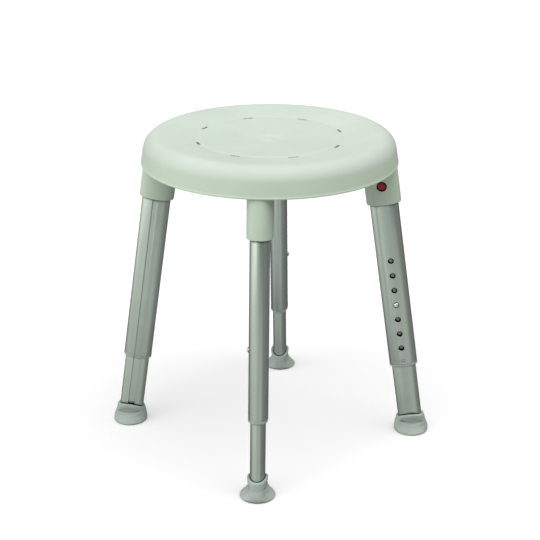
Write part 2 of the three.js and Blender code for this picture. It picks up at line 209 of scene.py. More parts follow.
def make_mesh(name, points, faces):
    """A mesh from points in millimetres."""
    mesh = bpy.data.meshes.new(name)
    mesh.from_pydata((np.asarray(points, float) * MM).tolist(), [], faces)
    mesh.validate()
    mesh.update()
    return mesh


def ring_faces(ring_count, size, closed):
    """Quads between rings of points, and from the last ring back to the first if closed."""
    faces = []
    for i in range(ring_count if closed else ring_count - 1):
        a, b = i * size, ((i + 1) % ring_count) * size
        for j in range(size):
            k = (j + 1) % size
            faces.append((a + j, a + k, b + k, b + j))
    return faces


def loop_mesh(name, rings):
    """A hollow body: rings run up the outside and back down the inside."""
    points = np.concatenate(rings)
    return make_mesh(name, points, ring_faces(len(rings), len(rings[0]), True))


def capped_mesh(name, rings):
    """A solid body: a stack of rings with a flat face on each end."""
    size = len(rings[0])
    points = np.concatenate(rings)
    faces = ring_faces(len(rings), size, False)
    faces.append(tuple(range(size - 1, -1, -1)))
    last = (len(rings) - 1) * size
    faces.append(tuple(range(last, last + size)))
    return make_mesh(name, points, faces)


def lathe_mesh(name, profile, steps):
    """Turns (radius, height) points about Z. Points on the axis become single vertices."""
    angles = np.arange(steps) * 2 * math.pi / steps
    cos, sin = np.cos(angles), np.sin(angles)
    points, starts = [], []
    for radius, height in profile:
        starts.append(len(points))
        if radius < 1e-6:
            points.append((0.0, 0.0, height))
        else:
            points.extend(zip(radius * cos, radius * sin, np.full(steps, height)))
    faces = []
    closed = profile[0][0] > 1e-6
    for i in range(len(profile) if closed else len(profile) - 1):
        n = (i + 1) % len(profile)
        a, b = starts[i], starts[n]
        a_pole, b_pole = profile[i][0] < 1e-6, profile[n][0] < 1e-6
        for j in range(steps):
            k = (j + 1) % steps
            if a_pole:
                faces.append((a, b + k, b + j))
            elif b_pole:
                faces.append((a + j, a + k, b))
            else:
                faces.append((a + j, a + k, b + k, b + j))
    return make_mesh(name, points, faces)


def round_over(start, end, centre, steps):
    """Points of the arc from start to end about centre, without the first and last."""
    a0 = math.atan2(start[1] - centre[1], start[0] - centre[0])
    a1 = math.atan2(end[1] - centre[1], end[0] - centre[0])
    turn = (a1 - a0 + math.pi) % (2 * math.pi) - math.pi
    radius = math.hypot(start[0] - centre[0], start[1] - centre[1])
    angles = [a0 + turn * i / steps for i in range(1, steps)]
    return [(centre[0] + radius * math.cos(a), centre[1] + radius * math.sin(a)) for a in angles]


def smooth_step(x):
    """Goes from 0 to 1 with level ends as x does."""
    x = np.clip(x, 0.0, 1.0)
    return x * x * (3 - 2 * x)


def section_angles():
    """Angles round an oval, closer together over the channel."""
    even = np.arange(0, 2 * math.pi, 2 * math.pi / 160)
    channel_reach = 0.4  # share of the half width that the close points cover
    across = np.linspace(-channel_reach, channel_reach, 81)
    channel = np.arccos(np.sign(across) * np.abs(across) ** (OVAL_POWER / 2))
    apart = 0.01
    rest = even[(even < channel.min() - apart) | (even > channel.max() + apart)]
    return np.sort(np.concatenate([rest, channel]))


SECTION_ANGLES = section_angles()


def section(half_widths, channel=0.0, power=OVAL_POWER, angles=SECTION_ANGLES):
    """The outline of an oval, with a shallow channel along its +Y face if channel is given."""
    cos, sin = np.cos(angles), np.sin(angles)
    x = half_widths[0] * np.sign(cos) * np.abs(cos) ** (2 / power)
    y = half_widths[1] * np.sign(sin) * np.abs(sin) ** (2 / power)
    if channel:
        inside = smooth_step((channel - np.abs(x)) / CHANNEL_SLOPE) * (y > 0)
        y = y + inside * (half_widths[1] - CHANNEL_DEPTH - y)
    return np.stack([x, y], 1)


def face_at(half_widths, x):
    """How far an oval's face is from its long axis."""
    return half_widths[1] * (1 - abs(x / half_widths[0]) ** OVAL_POWER) ** (1 / OVAL_POWER)


def at_station(outline, station):
    """The outline as 3-D points at a height or a station."""
    return np.column_stack([outline, np.full(len(outline), float(station))])


def grown(half_widths, by):
    """An oval's half widths, made larger all round."""
    return (half_widths[0] + by, half_widths[1] + by)


def boolean_operand(mesh):
    obj = bpy.data.objects.new("operand", mesh)
    bpy.context.scene.collection.objects.link(obj)
    return obj


def combine(mesh, others, operation):
    """The mesh joined with, or cut by, each of the others in turn."""
    for other in others:
        base, tool = boolean_operand(mesh), boolean_operand(other)
        modifier = base.modifiers.new("combine", "BOOLEAN")
        modifier.operation = operation
        modifier.solver = "MANIFOLD"
        modifier.object = tool
        depsgraph = bpy.context.evaluated_depsgraph_get()
        mesh = bpy.data.meshes.new_from_object(base.evaluated_get(depsgraph))
        bpy.data.objects.remove(base)
        bpy.data.objects.remove(tool)
    return mesh


def merged(name, meshes):
    """Several separate closed meshes as one, to cut with in one go."""
    points, faces = [], []
    for mesh in meshes:
        start = len(points)
        points.extend(tuple(v.co / MM) for v in mesh.vertices)
        faces.extend(tuple(start + i for i in p.vertices) for p in mesh.polygons)
    return make_mesh(name, points, faces)


def moved(mesh, matrix):
    """A copy of the mesh, placed by the matrix."""
    copy = mesh.copy()
    copy.transform(matrix)
    return copy


def finish_surface(mesh):
    """Smooth shading that keeps the crisp edges."""
    mesh.shade_smooth()
    mesh.set_sharp_from_angle(angle=SHARP_EDGE)
    return mesh


def leg_matrix(k):
    """A leg's own frame: X radially outward, Y along the seat's edge, Z up its axis."""
    turn = Matrix.Rotation(k * 2 * math.pi / LEG_COUNT, 4, "Z")
    shift = Matrix.Translation((LEG_RADIUS * MM, 0, 0))
    return turn @ shift @ Matrix.Rotation(-SPLAY, 4, "Y")


def foot_matrix(k):
    """A foot's own frame: upright on the floor, with X radially outward."""
    turn = Matrix.Rotation(k * 2 * math.pi / LEG_COUNT, 4, "Z")
    return turn @ Matrix.Translation((FOOT_CENTRE * MM, 0, 0))


def cross_cutter(radius, near, face, station):
    """A round cutter through the button side of a tube, which eases the hole's outer edge."""
    profile = [
        (0.0, near),
        (radius, near),
        (radius, face - EASE),
        (radius + EASE * 0.15, face - EASE * 0.5),
        (radius + EASE * 0.6, face - EASE * 0.1),
        (radius + EASE * 4, face + EASE * 3),
        (0.0, face + EASE * 3),
    ]
    cutter = lathe_mesh("cutter", profile, ROUND_STEPS)
    turn = Matrix.Translation((0, 0, station * MM)) @ Matrix.Rotation(math.pi / 2, 4, "X")
    return moved(cutter, turn)


# ---- seat ---------------------------------------------------------------------------------


def seat_top_line(depth):
    """The dished top from its middle, with a small raised boss, past the groove and out to the corner.

    Smooth (radius, height) points, lowered by depth.
    """
    knots = np.array(
        [
            (0.0, DISH_HEIGHT + 2.0),
            (4.0, DISH_HEIGHT + 1.8),
            (8.0, DISH_HEIGHT + 0.7),
            (11.0, DISH_HEIGHT + 0.05),
            (16.0, DISH_HEIGHT),
            (21.0, DISH_HEIGHT + 0.45),
            (25.0, DISH_HEIGHT + 1.1),
            (32.0, DISH_HEIGHT + 1.5),
            (60.0, DISH_HEIGHT + 2.7),
            (85.0, DISH_HEIGHT + 4.0),
            (106.0, GROOVE_HEIGHT + 0.35),
            (109.5, GROOVE_HEIGHT + 0.35),
            (111.5, GROOVE_HEIGHT),
            (GROOVE_RADIUS, GROOVE_HEIGHT - 0.1),
            (115.5, GROOVE_HEIGHT + 0.05),
            (117.8, GROOVE_HEIGHT + 0.7),
            (121.0, GROOVE_HEIGHT + 1.2),
            (135.0, GROOVE_HEIGHT + 3.6),
            (150.0, SEAT_TOP - 1.6),
            (162.0, SEAT_TOP - 0.3),
            (SEAT_CORNER_CENTRE, SEAT_TOP),
        ]
    )
    radii = np.unique(np.concatenate([np.linspace(0, SEAT_CORNER_CENTRE, 90), knots[:, 0]]))
    slopes = np.gradient(knots[:, 1], knots[:, 0])
    slopes[0] = slopes[-1] = 0.0
    heights = hermite(knots[:, 0], knots[:, 1], slopes, radii)
    return [(r, z - depth) for r, z in zip(radii, heights)]


def hermite(x, y, slopes, at):
    """A smooth curve through the knots."""
    i = np.clip(np.searchsorted(x, at) - 1, 0, len(x) - 2)
    width = x[i + 1] - x[i]
    t = (at - x[i]) / width
    t2, t3 = t * t, t * t * t
    return (
        (2 * t3 - 3 * t2 + 1) * y[i]
        + (t3 - 2 * t2 + t) * width * slopes[i]
        + (3 * t2 - 2 * t3) * y[i + 1]
        + (t3 - t2) * width * slopes[i + 1]
    )


def seat_line(depth, corner_steps):
    """The seat's line at a depth inside its wall, from the middle to the top of the side."""
    centre = (SEAT_CORNER_CENTRE, SEAT_TOP - SEAT_CORNER)
    radius = SEAT_CORNER - depth
    start = (centre[0], centre[1] + radius)
    end = (centre[0] + radius * math.cos(SKIRT_DRAFT), centre[1] + radius * math.sin(SKIRT_DRAFT))
    return seat_top_line(depth) + round_over(start, end, centre, corner_steps) + [end]


def seat_shell():
    """The shell: its top, its drafted side with a small lip round the bottom, and back inside."""
    lip_top = SKIRT_BOTTOM + LIP_HEIGHT
    edge = LIP_EDGE
    outer_side = []
    for height in SIDE_RINGS:
        drafted = (height - SIDE_RINGS[-1]) * math.tan(SKIRT_DRAFT)
        outer_side.append((SKIRT_RADIUS - SIDE_INSET - drafted, lip_top + height))
    outer_side += [
        (SKIRT_RADIUS + LIP_DEPTH * 0.5, lip_top - 0.1),
        (SKIRT_RADIUS + LIP_DEPTH, lip_top - 0.8),
        (SKIRT_RADIUS + LIP_DEPTH, SKIRT_BOTTOM + edge),
        (SKIRT_RADIUS + LIP_DEPTH * 0.7, SKIRT_BOTTOM + edge * 0.3),
        (SKIRT_RADIUS + LIP_DEPTH - edge, SKIRT_BOTTOM),
    ]
    inner = SKIRT_RADIUS - SEAT_WALL
    inner_side = [
        (inner + edge, SKIRT_BOTTOM),
        (inner + edge * 0.3, SKIRT_BOTTOM + edge * 0.3),
        (inner, SKIRT_BOTTOM + edge),
    ]
    outline = seat_line(0, 14) + outer_side + inner_side + seat_line(SEAT_WALL, 8)[::-1]
    return lathe_mesh("seat_shell", outline[::-1], SEAT_STEPS)


def mid_wall():
    """Height of the middle of the seat's wall over a radius, as two arrays."""
    line = np.array(seat_line(SEAT_WALL / 2, 14))
    return line[:, 0], line[:, 1]


def collar_block(k):
    """A leg's collar, from its rounded mouth up into the seat's wall.

    Each point of the top stops at the first station where it's halfway through the wall.
    """
    radii, heights = mid_wall()
    edge = COLLAR_EDGE
    outline = section(COLLAR)
    rings = [at_station(section(grown(COLLAR, -2 * edge)), COLLAR_START)]
    for i in range(6):
        angle = i * math.pi / 10
        inset = edge * (1 - math.sin(angle))
        station = COLLAR_START + edge * (1 - math.cos(angle))
        rings.append(at_station(section(grown(COLLAR, -inset)), station))
    rings.append(at_station(outline, COLLAR_START + 40))
    stations = np.linspace(COLLAR_START + 50, SEAT_TOP + 20, 600)
    # The cap closes in smaller and smaller rings, so that it follows the dish.
    for share in (1.0, 0.85, 0.7, 0.55, 0.4, 0.25, 0.1):
        top = at_station(outline * share, 0.0)
        for point in top:
            r = LEG_RADIUS - stations * math.sin(SPLAY) + point[0] * math.cos(SPLAY)
            z = stations * math.cos(SPLAY) + point[0] * math.sin(SPLAY)
            wall = np.interp(np.hypot(r, point[1]), radii, heights)
            point[2] = stations[np.argmax(z >= wall)]
        rings.append(top)
    return moved(capped_mesh("collar", rings), leg_matrix(k))


def socket_cutter(k):
    """The room for a leg in its collar, with a flared mouth."""
    room = section(grown(OUTER_TUBE, GAP))
    flare = section(grown(OUTER_TUBE, GAP + 0.8))
    rings = [
        at_station(flare, COLLAR_START - 2),
        at_station(flare, COLLAR_START),
        at_station(section(grown(OUTER_TUBE, GAP + 0.25)), COLLAR_START + 0.35),
        at_station(room, COLLAR_START + 1.0),
        at_station(room, SOCKET_END),
    ]
    return moved(capped_mesh("socket", rings), leg_matrix(k))


def window_cutter(k):
    """The round window in a collar, over the lock button."""
    cutter = cross_cutter(LOCK_WINDOW_RADIUS, COLLAR[1] / 2, COLLAR[1], LOCK_STATION)
    return moved(cutter, leg_matrix(k))


def rib_plate(quarter_turns):
    """An upright rib across the whole seat, with its top inside the seat's wall."""
    radii, heights = mid_wall()
    keep = radii < SKIRT_RADIUS - SEAT_WALL
    radii, heights = radii[keep], heights[keep]
    across = np.concatenate([-radii[:0:-1], radii])
    tops = np.concatenate([heights[:0:-1], heights])
    bottom = RIB_BOTTOM + quarter_turns * RIB_STEP
    half = RIB_THICKNESS / 2
    rings = []
    for x, top in zip(across, tops):
        rings.append(np.array([(x, half, bottom), (x, half, top), (x, -half, top), (x, -half, bottom)]))
    plate = capped_mesh("rib", rings)
    return moved(plate, Matrix.Rotation(quarter_turns * math.pi / 2, 4, "Z"))


def slot_cutter(i):
    """A drain slot with an eased upper edge, wider underneath."""
    half_straight = (SLOT_LENGTH - SLOT_WIDTH) / 2
    ends = np.arange(0, 17) * math.pi / 16
    floor = GROOVE_HEIGHT - 0.1  # the seat's surface at the slot

    def outline(by, z):
        radius = SLOT_WIDTH / 2 + by
        top = [(radius * math.cos(a), half_straight + radius * math.sin(a), z) for a in ends]
        low = [(-x, -y, z) for x, y, z in top]
        return np.array(top + low)

    rings = [
        outline(2.0, floor - 2 * SEAT_WALL),
        outline(1.2, floor - SEAT_WALL),
        outline(0, floor - 1.2),
        outline(0, floor - EASE),
        outline(EASE * 0.15, floor - EASE * 0.5),
        outline(EASE * 0.5, floor - EASE * 0.13),
        outline(EASE * 1.3, floor + EASE * 0.3),
        outline(EASE * 2, floor + 3),
    ]
    turn = Matrix.Rotation((i + 0.5) * 2 * math.pi / SLOT_COUNT, 4, "Z")
    shift = Matrix.Translation((GROOVE_RADIUS * MM, 0, 0))
    return moved(capped_mesh("slot", rings), turn @ shift)


def seat_mesh():
    """The shell with its collars and ribs, cut by the sockets, windows and drain slots."""
    collars = [collar_block(k) for k in range(LEG_COUNT)]
    ribs = [rib_plate(i) for i in range(2)]
    seat = combine(seat_shell(), [merged("collars", collars), *ribs], "UNION")
    sockets = merged("sockets", [socket_cutter(k) for k in range(LEG_COUNT)])
    windows = merged("windows", [window_cutter(k) for k in range(LEG_COUNT)])
    slots = merged("slots", [slot_cutter(i) for i in range(SLOT_COUNT)])
    return combine(seat, [sockets, windows, slots], "DIFFERENCE")


# ---- tubes, bush and glide ----------------------------------------------------------------


def hollow_rings(size, wall, start, end, channel_out, channel_in):
    """Rings of an oval tube with lightly rounded ends, up the outside and down the inside."""
    edge = TUBE_EDGE
    bore = grown(size, -wall)

    def outside(inset, station):
        return at_station(section(grown(size, -inset), channel_out), station)

    def inside(inset, station):
        return at_station(section(grown(bore, inset), channel_in), station)

    return [
        outside(edge, start),
        outside(edge * 0.3, start + edge * 0.3),
        outside(0, start + edge),
        outside(0, end - edge),
        outside(edge * 0.3, end - edge * 0.3),
        outside(edge, end),
        inside(edge, end),
        inside(edge * 0.3, end - edge * 0.3),
        inside(0, end - edge),
        inside(0, start + edge),
        inside(edge * 0.3, start + edge * 0.3),
        inside(edge, start),
    ]


def outer_tube_mesh():
    """The tube with its height holes, the nub's hole and the lock button's hole."""
    start = BUSH_START + BUSH_FLANGE + GAP
    bore_channel = OUTER_CHANNEL + OUTER_WALL / 2
    rings = hollow_rings(OUTER_TUBE, OUTER_WALL, start, OUTER_TUBE_END, OUTER_CHANNEL, bore_channel)
    tube = loop_mesh("outer_tube", rings)
    near, face = OUTER_TUBE[1] / 2, OUTER_TUBE[1]
    cutters = []
    for i in range(HOLE_COUNT):
        station = BUTTON_STATION + (i - (HOLE_COUNT - 1) / 2) * HOLE_PITCH
        cutters.append(cross_cutter(HEIGHT_HOLE_RADIUS, near, face, station))
    cutters.append(cross_cutter(NUB_HOLE_RADIUS, near, face, NUB_STATION))
    cutters.append(cross_cutter(LOCK_HOLE_RADIUS, near, face, LOCK_STATION))
    return combine(tube, [merged("holes", cutters)], "DIFFERENCE")


def inner_tube_mesh():
    """The tube with the one hole that its height button comes through."""
    bore_channel = INNER_CHANNEL + INNER_WALL / 2
    rings = hollow_rings(
        INNER_TUBE, INNER_WALL, INNER_TUBE_START, INNER_TUBE_END, INNER_CHANNEL, bore_channel
    )
    tube = loop_mesh("inner_tube", rings)
    near, face = INNER_TUBE[1] / 2, INNER_TUBE[1]
    hole = cross_cutter(BUTTON_RADIUS + GAP, near, face, BUTTON_STATION)
    return combine(tube, [hole], "DIFFERENCE")


def end_bush_mesh():
    """The guide ring: a rounded flange under the outer tube and a split sleeve inside it."""
    bore = grown(INNER_TUBE, GAP)
    tongue = INNER_CHANNEL - GAP
    proud = grown(OUTER_TUBE, BUSH_PROUD)
    flange_end = BUSH_START + BUSH_FLANGE
    edge = BUSH_EDGE
    flange_rings = []
    for i in range(5):
        angle = i * math.pi / 8
        inset = edge * (1 - math.sin(angle))
        outline = section(grown(proud, -inset), OUTER_CHANNEL)
        flange_rings.append(at_station(outline, BUSH_START + edge * (1 - math.cos(angle))))
    flange_rings.append(at_station(section(proud, OUTER_CHANNEL), flange_end - 0.3))
    flange_rings.append(at_station(section(grown(proud, -0.3), OUTER_CHANNEL), flange_end))
    flange_rings.append(at_station(section(bore, tongue), flange_end))
    flange_rings.append(at_station(section(bore, tongue), BUSH_START + 0.5))
    flange_rings.append(at_station(section(grown(bore, 0.5), tongue), BUSH_START))
    flange = loop_mesh("flange", flange_rings)

    sleeve = grown(OUTER_TUBE, -OUTER_WALL - GAP)
    sleeve_rings = [
        at_station(section(sleeve), BUSH_START + 1),
        at_station(section(sleeve), BUSH_SLEEVE_TOP - 0.5),
        at_station(section(grown(sleeve, -0.4)), BUSH_SLEEVE_TOP),
        at_station(section(bore), BUSH_SLEEVE_TOP),
        at_station(section(bore), BUSH_START + 1),
    ]
    guide = loop_mesh("guide", sleeve_rings)
    half = INNER_CHANNEL + 3 * GAP
    low, high = BUSH_START - 5, BUSH_SLEEVE_TOP + 5
    far = 2 * OUTER_TUBE[1] + GAP  # well past the tube's face
    corners = [(half, 0.0), (half, far), (-half, far), (-half, 0.0)]
    split = capped_mesh("split", [at_station(np.array(corners), z) for z in (low, high)])
    guide = combine(guide, [split], "DIFFERENCE")

    nub_radius = NUB_HOLE_RADIUS - GAP
    tip = OUTER_TUBE[1] + NUB_PROUD
    dome = [(nub_radius, tip - 0.9), (nub_radius * 0.93, tip - 0.5), (nub_radius * 0.75, tip - 0.2)]
    dome += [(nub_radius * 0.4, tip - 0.04), (0.0, tip)]
    nub = lathe_mesh("nub", [(0.0, sleeve[1] - 1), (nub_radius, sleeve[1] - 1)] + dome, 32)
    nub = moved(nub, Matrix.Translation((0, 0, NUB_STATION * MM)) @ Matrix.Rotation(math.pi / 2, 4, "X"))
    return combine(guide, [flange, nub], "UNION")


def top_glide_mesh():
    """The plug in the inner tube's top, whose head slides in the outer tube."""
    channel = INNER_CHANNEL + 3 * GAP
    head = grown(OUTER_TUBE, -OUTER_WALL - GAP)
    plug = grown(INNER_TUBE, -INNER_WALL - GAP)
    low, top = INNER_TUBE_END + GAP, INNER_TUBE_END + GAP + GLIDE_LENGTH
    plug_low = INNER_TUBE_END - GLIDE_PLUG
    rings = [
        at_station(section(grown(plug, -1.0), channel), plug_low),
        at_station(section(plug, channel), plug_low + 2),
        at_station(section(plug, channel), low),
        at_station(section(grown(head, -0.6), channel), low),
        at_station(section(head, channel), low + 0.6),
        at_station(section(head, channel), top - 1.2),
        at_station(section(grown(head, -0.4), channel), top - 0.4),
        at_station(section(grown(head, -1.2), channel), top),
    ]
    return capped_mesh("top_glide", rings)


# ---- buttons and springs ------------------------------------------------------------------


def button_mesh(name, radius, flange_radius, flange_at, tip, dome, station):
    """A push button: a flange behind the tube's wall, a shank and a domed face."""
    chamfer = FLANGE_CHAMFER
    profile = [
        (0.0, flange_at - FLANGE_THICKNESS),
        (flange_radius - chamfer, flange_at - FLANGE_THICKNESS),
        (flange_radius, flange_at - FLANGE_THICKNESS + chamfer),
        (flange_radius, flange_at - chamfer),
        (flange_radius - chamfer, flange_at),
        (radius, flange_at),
        (radius, tip - dome),
    ]
    for i in range(1, 10):
        angle = i * math.pi / 20
        profile.append((radius * math.cos(angle), tip - dome + dome * math.sin(angle)))
    profile.append((0.0, tip))
    button = lathe_mesh(name, profile, ROUND_STEPS)
    turn = Matrix.Translation((0, 0, station * MM)) @ Matrix.Rotation(math.pi / 2, 4, "X")
    return moved(button, turn)


def height_button_mesh():
    radius, flange = BUTTON_RADIUS, BUTTON_FLANGE_RADIUS
    flange_at = face_at(grown(INNER_TUBE, -INNER_WALL), flange) - GAP
    tip, dome = BUTTON_TIP, BUTTON_DOME
    return button_mesh("height_button", radius, flange, flange_at, tip, dome, BUTTON_STATION)


def lock_button_mesh():
    radius, flange = LOCK_BUTTON_RADIUS, LOCK_FLANGE_RADIUS
    flange_at = face_at(grown(OUTER_TUBE, -OUTER_WALL), flange) - GAP
    tip, dome = LOCK_BUTTON_TIP, LOCK_BUTTON_DOME
    return button_mesh("lock_button", radius, flange, flange_at, tip, dome, LOCK_STATION)


def leaf_spring_mesh(name, bore, flange_radius, station, free_length, bend_side):
    """A strip folded back on itself across the tube, behind a button.

    Each point of its path is (y, z) and the outward direction there.
    """
    flange_at = face_at(bore, flange_radius) - GAP
    near = FLANGE_THICKNESS + GAP - flange_at + SPRING_THICKNESS / 2
    far = bore[1] - CHANNEL_DEPTH - GAP - SPRING_THICKNESS / 2
    middle, radius = (near + far) / 2, (far - near) / 2
    along = np.linspace(0, 1, 12)
    path = [(near, t * free_length, -1.0, 0.0) for t in along]
    for angle in np.linspace(math.pi, 0, 22)[1:-1]:
        y, z = math.cos(angle), math.sin(angle)
        path.append((middle + radius * y, free_length + radius * z, y, z))
    path += [(far, t * free_length, 1.0, 0.0) for t in along[::-1]]
    half_width, half_thick, edge = SPRING_WIDTH / 2, SPRING_THICKNESS / 2, SPRING_EDGE
    corners = [
        (half_width - edge, half_thick),
        (half_width, half_thick - edge),
        (half_width, edge - half_thick),
        (half_width - edge, -half_thick),
        (edge - half_width, -half_thick),
        (-half_width, edge - half_thick),
        (-half_width, half_thick - edge),
        (edge - half_width, half_thick),
    ]
    rings = []
    for y, z, out_y, out_z in path:
        ring = [(bend_side * x, y + out_y * t, bend_side * (z + out_z * t)) for x, t in corners]
        rings.append(np.array(ring) + (0, 0, station - bend_side * SPRING_WIDTH * SPRING_OVERLAP))
    return capped_mesh(name, rings)


# ---- foot ---------------------------------------------------------------------------------


def scooped(points):
    """Presses an arched hollow into both tangential faces."""
    x, y, z = points.T
    arch = 1 - (x / SCOOP_HALF_WIDTH) ** 2
    top = SCOOP_MIDDLE + (SCOOP_TOP - SCOOP_MIDDLE) * arch
    bottom = SCOOP_MIDDLE - (SCOOP_MIDDLE - SCOOP_BOTTOM) * arch
    inside = smooth_step((top - z) / SCOOP_TOP_SLOPE) * smooth_step((z - bottom) / SCOOP_BOTTOM_SLOPE)
    side = smooth_step(np.abs(y) / FOOT_SOCKET[1] * 2 - 0.6)  # fades away towards the ends of the oval
    pressed = points.copy()
    pressed[:, 1] -= np.sign(y) * SCOOP_DEPTH * inside * side
    return pressed


def foot_mesh():
    """A soft tip: a grooved round sole, two scooped sides and an oval socket that leans."""
    angles = np.arange(FOOT_STEPS) * 2 * math.pi / FOOT_STEPS
    tilt = math.tan(SPLAY)

    def disc(radius, height):
        return at_station(section((radius, radius), 0, 2.0, angles), height)

    def leaned(outline, stations):
        x = outline[:, 0] * math.cos(SPLAY) - stations * math.sin(SPLAY) + LEG_RADIUS - FOOT_CENTRE
        z = outline[:, 0] * math.sin(SPLAY) + stations * math.cos(SPLAY)
        return np.column_stack([x, outline[:, 1], z])

    rings = []
    for inner, outer in SOLE_GROOVES:
        rings.append(disc(inner, 0.0))
        rings.append(disc(inner + SOLE_GROOVE_SLOPE, SOLE_GROOVE_DEPTH))
        rings.append(disc(outer - SOLE_GROOVE_SLOPE, SOLE_GROOVE_DEPTH))
        rings.append(disc(outer, 0.0))
    for radius, height in SOLE_EDGE:
        rings.append(disc(radius, height))

    table = np.array(FOOT_LEVELS)
    slopes = np.gradient(table, table[:, 0], axis=0)
    slopes[0] = (1.0, 0.0, -0.6, 0.0)  # leaves the pad upright, already narrowing
    slopes[-1, 1:] = 0.0
    below_socket = table[-2, 0] + 2
    heights = np.linspace(table[0, 0], below_socket, 38)
    columns = [hermite(table[:, 0], table[:, i], slopes[:, i], heights) for i in (1, 2, 3)]
    for height, r, t, p in zip(heights, *columns):
        above = height - FOOT_LEAN_START
        shift = -tilt * (above + math.sqrt(above * above + FOOT_LEAN_ROUNDING)) / 2
        ring = at_station(section((r, t), 0, p, angles), height) + (shift, 0, 0)
        rings.append(scooped(ring))

    def drop(outline):
        """How far the rim's arc falls away from its top."""
        return FOOT_RIM_ARC - np.sqrt(FOOT_RIM_ARC**2 - outline[:, 0] ** 2)

    last = rings[-1]
    outline = section(FOOT_SOCKET, 0, FOOT_POWER, angles)
    rim_rounding = 2.2
    top = leaned(outline, FOOT_RIM - rim_rounding - drop(outline))
    for share in np.linspace(0, 1, 30)[1:]:
        rings.append(scooped(last * (1 - share) + top * share))
    hug = grown(INNER_TUBE, FOOT_HUG)
    # Half widths, and how far below the rim's top: over the rim and down to the tube.
    rim = [
        (FOOT_SOCKET[0] - 0.1, FOOT_SOCKET[1] - 0.25, 1.3),
        (FOOT_SOCKET[0] - 0.4, FOOT_SOCKET[1] - 0.8, 0.55),
        (FOOT_SOCKET[0] - 1.0, FOOT_SOCKET[1] - 1.5, 0.12),
        (FOOT_SOCKET[0] - 1.9, FOOT_SOCKET[1] - 2.4, 0.0),
        (hug[0] + 0.9, hug[1] + 0.9, 0.05),
        (hug[0] + 0.2, hug[1] + 0.2, 0.35),
        (hug[0], hug[1], 0.8),
    ]
    for r, t, below in rim:
        outline = section((r, t), 0, OVAL_POWER, angles)
        rings.append(leaned(outline, FOOT_RIM - below - drop(outline)))
    bore = section(hug, 0, OVAL_POWER, angles)
    rings.append(leaned(bore, np.full(len(angles), FOOT_SOCKET_FLOOR)))
    return capped_mesh("foot", rings)


# ---- materials ----------------------------------------------------------------------------


class Nodes:
    """A material's node tree, with short calls to add to it."""

    def __init__(self, name):
        self.material = bpy.data.materials.new(name)
        self.material.use_nodes = True
        self.tree = self.material.node_tree
        self.shader = self.tree.nodes["Principled BSDF"]

    def add(self, kind, **inputs):
        node = self.tree.nodes.new(kind)
        for key, value in inputs.items():
            node.inputs[key.replace("_", " ")].default_value = value
        return node

    def link(self, out, into):
        self.tree.links.new(out, into)

    def coordinates(self, scale):
        """Object coordinates in metres, stretched by scale."""
        where = self.add("ShaderNodeTexCoord")
        mapping = self.add("ShaderNodeMapping")
        mapping.inputs["Scale"].default_value = scale
        self.link(where.outputs["Object"], mapping.inputs["Vector"])
        return mapping.outputs["Vector"]

    def noise(self, vector, scale, detail=3.0, rough=0.5):
        node = self.add("ShaderNodeTexNoise", Scale=scale, Detail=detail, Roughness=rough)
        self.link(vector, node.inputs["Vector"])
        return node.outputs["Fac"]

    def ramp(self, value, low, high, at=(0.3, 0.7)):
        """Maps a 0 to 1 value onto a range of numbers."""
        node = self.add("ShaderNodeMapRange")
        node.inputs["From Min"].default_value = at[0]
        node.inputs["From Max"].default_value = at[1]
        node.inputs["To Min"].default_value = low
        node.inputs["To Max"].default_value = high
        self.link(value, node.inputs["Value"])
        return node.outputs["Result"]

    def blend(self, factor, first, second):
        """Mixes two colours, each a plain (red, green, blue) or another node's output."""
        node = self.tree.nodes.new("ShaderNodeMix")
        node.data_type = "RGBA"
        for key, color in (("A", first), ("B", second)):
            if isinstance(color, tuple):
                node.inputs[key].default_value = (*color, 1)
            else:
                self.link(color, node.inputs[key])
        self.link(factor, node.inputs["Factor"])
        return node.outputs["Result"]

    def mottled(self, value, first, second):
        """Wanders between two colours with a noise value."""
        return self.blend(self.ramp(value, 0.0, 1.0), first, second)

    def blend_by_height(self, low, high, span):
        """Goes from one colour to another over a span of heights in metres."""
        where = self.add("ShaderNodeTexCoord")
        height = self.add("ShaderNodeSeparateXYZ")
        self.link(where.outputs["Object"], height.inputs["Vector"])
        return self.blend(self.ramp(height.outputs["Z"], 0.0, 1.0, span), low, high)

    def shaded_in_gaps(self, color, shade_color, reach, span):
        """Paints shade into a colour: darker in gaps and holes up to reach wide, where ambient occlusion
        finds them.
        """
        gap = self.add("ShaderNodeAmbientOcclusion", Distance=reach * MM)
        gap.samples = 8
        return self.blend(self.ramp(gap.outputs["AO"], 0.0, 1.0, span), shade_color, color)

    def bump(self, height, strength, distance):
        node = self.add("ShaderNodeBump", Strength=strength, Distance=distance)
        self.link(height, node.inputs["Height"])
        return node.outputs["Normal"]

    def color_from(self, color):
        self.link(color, self.shader.inputs["Base Color"])

    def roughness_from(self, value, low, high):
        self.link(self.ramp(value, low, high), self.shader.inputs["Roughness"])

    def relief_from(self, height, strength, distance):
        self.link(self.bump(height, strength, distance), self.shader.inputs["Normal"])


def seat_plastic():
    """Moulded polypropylene with a fine spark-eroded texture, with a painted shade tint: greener on its side,
    more neutral on top.
    """
    m = Nodes("seat_plastic")
    plain = m.coordinates((1, 1, 1))
    cloud = m.noise(plain, 14.0, 4.0)
    # Painted shade tint: the side gets the greener colour of its shade, the top a more neutral one.
    side = m.mottled(cloud, (0.68, 0.81, 0.65), (0.72, 0.85, 0.685))
    top = m.mottled(cloud, (0.662, 0.757, 0.665), (0.702, 0.797, 0.70))
    color = m.blend_by_height(side, top, (0.472, 0.49))
    # Painted shade: darker in the drain slots, under the skirt and where the collars meet it.
    m.color_from(m.shaded_in_gaps(color, (0.012, 0.015, 0.011), 9.0, (0.3, 0.68)))
    m.roughness_from(cloud, 0.5, 0.58)
    m.relief_from(m.noise(plain, 900.0, 2.0, 0.6), 0.12, 0.0004)
    m.shader.inputs["Specular IOR Level"].default_value = 0.28
    return m.material


